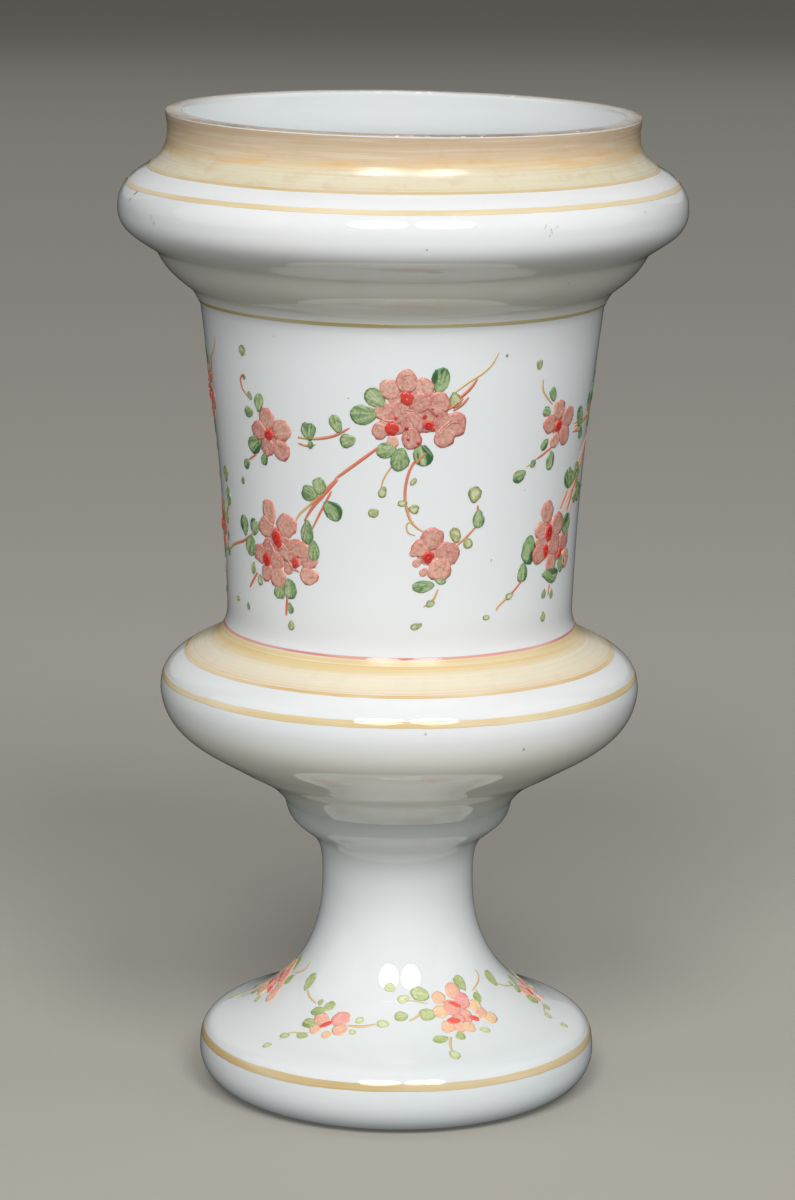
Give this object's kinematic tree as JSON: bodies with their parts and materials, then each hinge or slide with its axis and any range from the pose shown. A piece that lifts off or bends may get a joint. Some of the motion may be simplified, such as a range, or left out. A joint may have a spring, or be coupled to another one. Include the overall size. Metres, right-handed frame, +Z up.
{
  "type": "vase",
  "caption": "Tall urn-shaped white opaline glass vase with a rounded collar, tapered drum and pedestal foot, painted with enamel bands, lines and raised flower sprays.",
  "frame": {"origin": "centre of the ring face that the vase stands on", "axes": "+Z up along the vase's axis, from the foot to the rim; -Y faces the viewer of the picture"},
  "size_m": [0.158, 0.158, 0.2789],
  "materials": {
    "opaline_glass": "milk-white opal glass, fire-polished, very glossy",
    "beige_enamel": "fired beige enamel, brushed on in streaks, satin",
    "ochre_enamel": "fired ochre enamel line, thin, satin",
    "pink_enamel": "fired pink enamel line, thin, satin",
    "blossom_enamel": "raised salmon-pink enamel petals with green leaves, satin gloss",
    "pale_blossom_enamel": "raised pale peach-pink enamel petals with olive leaves, satin gloss"
  },
  "bodies": {
    "root": {"pedestal_foot": "opaline_glass", "wafer": "opaline_glass", "bowl": "opaline_glass", "neck_band": "beige_enamel", "neck_band_line": "ochre_enamel", "collar_line": "ochre_enamel", "drum_top_line": "ochre_enamel", "shoulder_pink_line": "pink_enamel", "shoulder_band": "beige_enamel", "shoulder_band_line": "ochre_enamel", "bulge_line": "ochre_enamel", "foot_line": "ochre_enamel", "high_spray_1": "blossom_enamel", "high_spray_2": "blossom_enamel", "high_spray_3": "blossom_enamel", "high_spray_4": "blossom_enamel", "low_spray_1": "blossom_enamel", "low_spray_2": "blossom_enamel", "low_spray_3": "blossom_enamel", "low_spray_4": "blossom_enamel", "high_blossom_1": "blossom_enamel", "high_blossom_2": "blossom_enamel", "high_blossom_3": "blossom_enamel", "high_blossom_4": "blossom_enamel", "low_blossom_1": "blossom_enamel", "low_blossom_2": "blossom_enamel", "low_blossom_3": "blossom_enamel", "low_blossom_4": "blossom_enamel", "foot_spray_1": "pale_blossom_enamel", "foot_spray_2": "pale_blossom_enamel", "foot_spray_3": "pale_blossom_enamel", "foot_blossom_1": "pale_blossom_enamel", "foot_blossom_2": "pale_blossom_enamel", "foot_blossom_3": "pale_blossom_enamel"}
  },
  "joints": []
}
